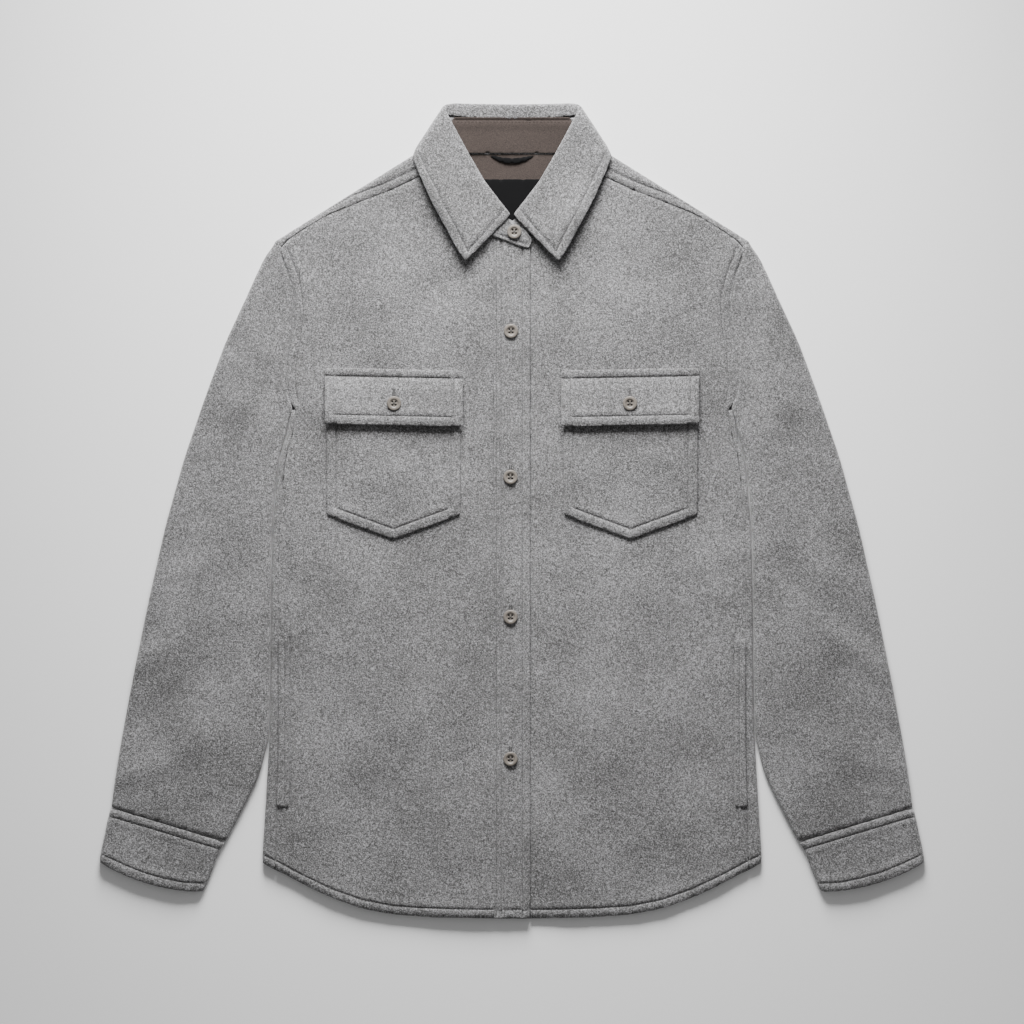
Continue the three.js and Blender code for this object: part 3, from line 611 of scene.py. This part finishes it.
# %% Pockets and cuffs
CUFF_TOP_STITCH = 8.0
POCKET_EDGE = [(-185.2, 120), (-185.2, -3), (-118.6, -27.5), (-52, -3), (-52, 120)]
pocket_line = inset(POCKET_EDGE, EDGE_STITCH)
FLAP_EDGE = [(-187.2, 143.3), (-187.2, 87.8), (-49.3, 85), (-49.3, 140.5)]
flap_line = inset(FLAP_EDGE, EDGE_STITCH)
flap_top_line = [(-186.5, 135.6), (-50, 132.8)]
CUFF_TOP = [(-401.2, -296.9), (-287.3, -331.3)]
CUFF_LOW = [(-412, -351.8), (-391, -361.5), (-371, -369.5), (-350, -375.5), (-330, -379.5), (-309, -380.5)]
cuff_lines = [inset(CUFF_TOP, -CUFF_TOP_STITCH), inset(CUFF_LOW, NEAR_STITCH)]
print("a pocket is sewn along", len(pocket_line) - 1, "edges")

# %% [markdown]
# ## Which lines belong to which panel
# A plain seam is pressed into the cloth like a sewn line, but shows no thread. Topstitching shows its thread,
# so the two are listed apart: both get a groove, and only the second gets stitches later.

# %% Plain seams
SEAMS = {
    "front_right": [armhole_seam, side_seam, welt_edge],
    "front_left": [mirrored(line) for line in (armhole_seam, side_seam, welt_edge)],
    "sleeve_right": [armhole_seam],
    "sleeve_left": [mirrored(armhole_seam)],
}
print("panels with a plain seam:", len(SEAMS))

# %% Topstitching
SEWN = {
    "back": both(hem_line[-3:]),
    "yoke": both(yoke_line),
    "front_right": [mirrored(hem_line), armhole_line],
    "front_left": [hem_line, mirrored(armhole_line)],
    "placket_over": placket_lines,
    "collar_fall": both(fall_line),
    "collar_stand": [tab_line],
    "stand_facing": [[(-57, 389.6), (57, 389.6)]],
    "pocket_right": [pocket_line],
    "pocket_left": [mirrored(pocket_line)],
    "flap_right": [flap_line, flap_top_line],
    "flap_left": [mirrored(flap_line), mirrored(flap_top_line)],
    "cuff_right": cuff_lines,
    "cuff_left": [mirrored(line) for line in cuff_lines],
    "side_welt_right": [welt_line],
    "side_welt_left": [mirrored(welt_line)],
}
print("panels with topstitching:", len(SEWN))

# %% [markdown]
# ## The panels in their cloth
# Large panels are mostly open cloth, so they can have larger triangles than the small pieces, whose sewn
# edges make up most of what shows. Facing, lining, label and loop are rounded a little less than the wool.

# %% Wool pieces
WOOL_PIECES = ["back", "yoke", "front_right", "front_left", "placket_under", "placket_over", "sleeve_right",
               "sleeve_left", "cuff_right", "cuff_left", "collar_fall", "collar_stand", "pocket_right",
               "pocket_left", "flap_right", "flap_left", "side_welt_right", "side_welt_left"]
COTTON_PIECES = ("stand_facing", "yoke_lining")
TAPE_PIECES = ("neck_label", "hanger_loop")
SMALL_CELL = 3.6 * MM
WOOL_ROUNDS = 4
LARGE = {"back", "front_right", "front_left", "sleeve_right", "sleeve_left", "placket_under"}
for name in WOOL_PIECES:
    cell = OPEN_CELL if name in LARGE else SMALL_CELL
    fine_piece(name, wool, [*SEWN.get(name, ()), *SEAMS.get(name, ())], cell, WOOL_ROUNDS)
print("triangles in wool:", sum(len(piece.data.polygons) for piece in pieces.values()))

# %% Facing, lining, label and loop
THIN_ROUNDS = 3
for name in COTTON_PIECES:
    fine_piece(name, cotton, SEWN.get(name, ()), SMALL_CELL, THIN_ROUNDS)
for name in TAPE_PIECES:
    fine_piece(name, tape_and_hole_shade, (), SMALL_CELL, THIN_ROUNDS)

# %% [markdown]
# ## Closing the neck
# Inside the neck, the facing's upper edge and the hanger loop run up into the collar's seam. Both are drawn
# up by 1.6 mm here, so that they reach it.

# %% Facing and loop reach the seam
NECK_REACH = 1.6 * MM
FACING_TOP = (380, 390)
LOOP_STRETCH = 1.1
facing_points = mesh_points(pieces["stand_facing"].data)
facing_points[:, 1] += NECK_REACH * smooth_step(facing_points[:, 1] / MM, *FACING_TOP)
write_points(pieces["stand_facing"].data, facing_points)
loop_points = mesh_points(pieces["hanger_loop"].data)
loop_top = loop_points[:, 1].max()
loop_points[:, 1] = loop_top + NECK_REACH + (loop_points[:, 1] - loop_top) * LOOP_STRETCH
write_points(pieces["hanger_loop"].data, loop_points)
print("triangles so far:", sum(len(piece.data.polygons) for piece in pieces.values()))

# %% [markdown]
# ## Thread
# A sewing machine leaves a row of short stitches that sink into the nap. Each is a small thread capsule laid
# on the finished cloth, by a ray cast straight down, so it follows the groove and the folds.

# %% A row of thread capsules
# The columns are the place along the stitch, the width and the sink, the last two as shares of the radius.
THREAD_RINGS = ((0, 0.45, -0.6), (0.2, 1, 0), (0.8, 1, 0), (1, 0.45, -0.6))
THREAD_SIDES = 6


def stitch_mesh(starts, ends, radius):
    """Joins thin six-sided capsules, one from each start to its end."""
    verts = []
    faces = []
    turns = np.arange(THREAD_SIDES) * 2 * math.pi / THREAD_SIDES
    last = (len(THREAD_RINGS) - 1) * THREAD_SIDES
    for start, end in zip(starts, ends):
        run = end - start
        side = np.cross(run, (0, 0, 1))
        side /= max(np.linalg.norm(side), 1e-9)
        rise = np.cross(side, run)
        rise /= max(np.linalg.norm(rise), 1e-9)
        base = len(verts)
        for share, width, sink in THREAD_RINGS:
            middle = start + run * share + rise * radius * sink
            for turn in turns:
                verts.append(middle + radius * width * (side * math.cos(turn) + rise * math.sin(turn)))
        for ring in range(len(THREAD_RINGS) - 1):
            for k in range(THREAD_SIDES):
                a = base + ring * THREAD_SIDES + k
                b = base + ring * THREAD_SIDES + (k + 1) % THREAD_SIDES
                faces.append((a, b, b + THREAD_SIDES, a + THREAD_SIDES))
        faces.append(tuple(base + k for k in reversed(range(THREAD_SIDES))))
        faces.append(tuple(base + last + k for k in range(THREAD_SIDES)))
    mesh = bpy.data.meshes.new("thread")
    mesh.from_pydata(verts, [], faces)
    smooth_shaded(mesh)
    return mesh


def extra_piece(name, mesh, material):
    """Adds a made piece that stands for no solid."""
    mesh.materials.append(material)
    piece = bpy.data.objects.new(name, mesh)
    bpy.context.scene.collection.objects.link(piece)
    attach(piece, "root")


# %% Finding the top of the cloth
SKY = 0.1


def surface_of(name):
    """Builds the ray-cast surface of one fine piece."""
    mesh = pieces[name].data
    verts = [vertex.co.copy() for vertex in mesh.vertices]
    faces = [tuple(face.vertices) for face in mesh.polygons]
    return BVHTree.FromPolygons(verts, faces)


def on_top(tree, x, y):
    """Gives the point of the surface under (x, y), or None past its edge."""
    hit = tree.ray_cast(Vector((x, y, SKY)), Vector((0, 0, -1)))[0]
    return None if hit is None else np.array(hit)


# %% Stitches
STITCH_PITCH = 3.6 * MM
STITCH_LENGTH = 2.7 * MM
STITCH_RADIUS = 0.32 * MM
STITCH_RISE = 0.12 * MM


def stitch_row(tree, line, starts, ends):
    """Walks a line and notes each stitch that lands on the cloth."""
    line = np.asarray(line, float) * MM
    lengths = np.linalg.norm(np.diff(line, axis=0), axis=1)
    places = np.concatenate([[0], np.cumsum(lengths)])
    for place in np.arange(0.5 * STITCH_PITCH, places[-1] - STITCH_LENGTH, STITCH_PITCH):
        pair = []
        for along in (place, place + STITCH_LENGTH):
            x = np.interp(along, places, line[:, 0])
            y = np.interp(along, places, line[:, 1])
            pair.append(on_top(tree, x, y))
        if pair[0] is not None and pair[1] is not None:
            starts.append(pair[0] + (0, 0, STITCH_RISE))
            ends.append(pair[1] + (0, 0, STITCH_RISE))


stitch_count = 0
for name, lines in SEWN.items():
    tree = surface_of(name)
    starts, ends = [], []
    for line in lines:
        stitch_row(tree, line, starts, ends)
    stitch_count += len(starts)
    on_facing = name == "stand_facing"
    row_mesh = stitch_mesh(starts, ends, STITCH_RADIUS)
    extra_piece(f"stitches_{name}", row_mesh, cotton if on_facing else thread)
print("stitches:", stitch_count)

# %% [markdown]
# ## Buttons
# Each button is cut from resin: a rounded rim, a dished middle and four holes, tied down with crossed
# thread. The face is a polar grid whose height is worked out at every point, so the holes are real pits.

# %% Button shape
RINGS = 24
SECTORS = 64
HOLE_RADIUS = 1.0
HOLE_PLACE = 1.65
HOLE_BLEND = 0.15
HOLE_FLOOR = 0.1
RIM_ROUND = 1.1
RIM_LOW = 0.45
DISH_FROM = 0.5
DISH_TO = 0.66
DISH_DEPTH = 0.30
FOOT_SHARE = 0.92


def button_height(x, y, radius, thick):
    """Gives the height of the button's face above its underside, in millimetres."""
    far = np.hypot(x, y)
    rim_turn = np.clip((far - (radius - RIM_ROUND)) / RIM_ROUND, 0, 1)
    height = thick * (RIM_LOW + (1 - RIM_LOW) * np.sqrt(np.maximum(1 - rim_turn ** 2, 0)))
    dish = 1 - smooth_step(far, DISH_FROM * radius, DISH_TO * radius)
    height = height - dish * DISH_DEPTH * thick
    for sx in (-1, 1):
        for sy in (-1, 1):
            hole = np.hypot(x - sx * HOLE_PLACE, y - sy * HOLE_PLACE)
            open_share = 1 - smooth_step(hole, HOLE_RADIUS - HOLE_BLEND, HOLE_RADIUS + HOLE_BLEND)
            height = height * (1 - open_share) + HOLE_FLOOR * thick * open_share
    return height


# %% Button mesh
def button_mesh(center, radius, low, thick):
    """Builds a closed button at a place, all in millimetres."""
    reach = radius * np.linspace(0, 1, RINGS + 1)[1:]
    turns = np.arange(SECTORS) * 2 * math.pi / SECTORS
    x = reach[:, None] * np.cos(turns)
    y = reach[:, None] * np.sin(turns)
    z = button_height(x, y, radius, thick)
    middle = button_height(np.zeros(1), np.zeros(1), radius, thick)[0]
    verts = [(center[0], center[1], low + middle)]
    for across, up, height in zip(x.ravel(), y.ravel(), z.ravel()):
        verts.append((center[0] + across, center[1] + up, low + height))
    rim = 1 + (RINGS - 1) * SECTORS
    foot = len(verts)
    for across, up in zip(x[-1], y[-1]):
        verts.append((center[0] + FOOT_SHARE * across, center[1] + FOOT_SHARE * up, low))
    faces = [(0, 1 + k, 1 + (k + 1) % SECTORS) for k in range(SECTORS)]
    for ring in range(RINGS - 1):
        for k in range(SECTORS):
            a = 1 + ring * SECTORS + k
            b = 1 + ring * SECTORS + (k + 1) % SECTORS
            faces.append((a, a + SECTORS, b + SECTORS, b))
    for k in range(SECTORS):
        n = (k + 1) % SECTORS
        faces.append((rim + k, foot + k, foot + n, rim + n))
    faces.append(tuple(foot + k for k in reversed(range(SECTORS))))
    mesh = bpy.data.meshes.new("button")
    mesh.from_pydata([tuple(MM * value for value in vert) for vert in verts], [], faces)
    smooth_shaded(mesh)
    return mesh


# %% Resin
BUTTON_NODES = sorted(name for name in nodes if name.startswith("button"))
RESIN_SHINE = 0.5
RESIN_STOPS = [(0.5, (0.110, 0.096, 0.082)), (0.95, (0.220, 0.196, 0.172))]
resin = cloth_material("taupe resin", RESIN_STOPS, grain=260.0, fleck=120.0, roughness=0.38, sheen=0.0,
                       bump=0.04)
resin.node_tree.nodes["Principled BSDF"].inputs["Specular IOR Level"].default_value = RESIN_SHINE
print("resin mixed for", len(BUTTON_NODES), "buttons")

# %% [markdown]
# ## Ties and painted shade in the holes
# Two crossed threads hold a button down, and each of its four holes looks dark because no light reaches the
# cloth below. The threads are the same capsules as the stitches; a near-black disc of painted shade lies deep
# in each hole.

# %% Painted shade in the holes
DISC_SIDES = 16


def painted_shade_discs(center, height):
    """Builds the four small near-black discs of painted shade seen as the dark bottoms of the holes."""
    verts = []
    faces = []
    for sx in (-1, 1):
        for sy in (-1, 1):
            base = len(verts)
            for k in range(DISC_SIDES):
                turn = 2 * math.pi * k / DISC_SIDES
                x = center[0] + sx * HOLE_PLACE + HOLE_RADIUS * math.cos(turn)
                y = center[1] + sy * HOLE_PLACE + HOLE_RADIUS * math.sin(turn)
                verts.append((x * MM, y * MM, height * MM))
            faces.append(tuple(range(base, base + DISC_SIDES)))
    mesh = bpy.data.meshes.new("painted_hole_shade")
    mesh.from_pydata(verts, [], faces)
    return mesh


# %% Crossed threads
TIE_RADIUS = 0.24 * MM
TIE_TURNS = (45, 135)


def tie_mesh(center, height):
    """Builds the two threads that cross between opposite holes."""
    spot = np.array([center[0], center[1], height])
    starts, ends = [], []
    for turn in TIE_TURNS:
        way = np.array([math.cos(math.radians(turn)), math.sin(math.radians(turn)), 0])
        arm = HOLE_PLACE * math.sqrt(2) * way
        starts.append((spot - arm) * MM)
        ends.append((spot + arm) * MM)
    return stitch_mesh(starts, ends, TIE_RADIUS)


# %% Buttons
TIE_HEIGHT = 0.78
SHADE_HEIGHT = 0.13
for name in BUTTON_NODES:
    corners = np.array([tuple(vertex.co) for vertex in nodes[name].data.vertices]) / MM
    low, high = corners.min(axis=0), corners.max(axis=0)
    center = (low + high) / 2
    radius = (high[0] - low[0]) / 2
    side = "flap" if "flap" in name else "stand"
    rise = float(lie(center[:1], center[1:2])[0] + raised(side, center[:1], center[1:2])[0])
    under = low[2] + rise
    thick = high[2] - low[2]
    button = bpy.data.objects.new(f"{name}_resin", button_mesh(center, radius, under, thick))
    button.data.materials.append(resin)
    bpy.context.scene.collection.objects.link(button)
    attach(button, "root")
    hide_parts(name)
    extra_piece(f"{name}_tie", tie_mesh(center, under + TIE_HEIGHT * thick), thread)
    # Each hole's disc takes the black tape cloth as painted shade, not as a real part of the button.
    extra_piece(f"{name}_shade", painted_shade_discs(center, under + SHADE_HEIGHT * thick), tape_and_hole_shade)
    print(name, "is", round(2 * radius, 1), "mm across")

# %% [markdown]
# ## Buttonholes
# A buttonhole is a cut slit edged with close satin stitches. Only its upper end shows above each button.

# %% Buttonholes
HOLE_LENGTH = 16
SATIN_PITCH = 0.75
SATIN_FROM = 0.25
SATIN_TO = 1.5
SATIN_RISE = 0.05 * MM
SATIN_RADIUS = 0.36 * MM
BUTTONHOLES = {"placket_over": [(-1, 184.3), (-1.5, 38.3), (-1.5, -101.7), (-1.5, -243.7)],
               "flap_right": [(-118, 115)], "flap_left": [(118, 115)]}
for name, places in BUTTONHOLES.items():
    tree = surface_of(name)
    starts, ends = [], []
    for x, y in places:
        for step in np.arange(-HOLE_LENGTH / 2, HOLE_LENGTH / 2, SATIN_PITCH):
            for side in (-1, 1):
                inner = on_top(tree, (x + side * SATIN_FROM) * MM, (y + step) * MM)
                outer = on_top(tree, (x + side * SATIN_TO) * MM, (y + step) * MM)
                starts.append(inner + (0, 0, SATIN_RISE))
                ends.append(outer + (0, 0, SATIN_RISE))
    satin = stitch_mesh(starts, ends, SATIN_RADIUS)
    extra_piece(f"buttonholes_{name}", satin, thread)
    print("buttonholes in", name, ":", len(places))

# %% [markdown]
# ## Shared materials
# Pieces of one cloth share one material, so that a later user can change the wool, the facing, the tape or
# the buttons of the whole jacket at once.

# %% Shared materials
print("materials shared: wool, facing, tape and button")

# %% [markdown]
# ## Flat sizes
# Cloth is cut flat and then sewn, so each sheet is stated with the size it was cut to, without its seam
# allowances. The hanger loop is too narrow to be a sheet of its own, so it is measured with the yoke lining.

# %% Flat sizes
# The columns are width and length in metres, and the area in square metres where it isn't a rectangle.
FLAT_SIZES = {
    "back": (0.516, 0.650, 0.305),
    "yoke": (0.476, 0.142, 0.0456),
    "front_right": (0.219, 0.746, 0.1488),
    "front_left": (0.219, 0.746, 0.1488),
    "placket_under": (0.035, 0.687, 0.024),
    "placket_over": (0.0355, 0.687, 0.0223),
    "sleeve_right": (0.37, 0.61, 0.1186),
    "sleeve_left": (0.37, 0.61, 0.1186),
    "cuff_right": (0.240, 0.060, 0.0137),
    "cuff_left": (0.240, 0.060, 0.0137),
    "collar_fall": (0.45, 0.075, 0.0253),
    "collar_stand": (0.46, 0.040, 0.014),
    "stand_facing": (0.148, 0.0336, 0.0044),
    "yoke_lining": (0.152, 0.0746, 0.0067),
    "neck_label": (0.067, 0.0438, None),
    "pocket_right": (0.1332, 0.1485, 0.0190),
    "pocket_left": (0.1332, 0.1485, 0.0190),
    "flap_right": (0.138, 0.0555, 0.0076),
    "flap_left": (0.138, 0.0555, 0.0076),
    "side_welt_right": (0.0115, 0.168, 0.0017),
    "side_welt_left": (0.0115, 0.168, 0.0017),
}
for name, (width, length, area) in FLAT_SIZES.items():
    measured = sum(face.area for face in pieces[name].data.polygons) / 2
    print(name, "cut area", area or width * length, "square metres, cloth", round(measured, 4))
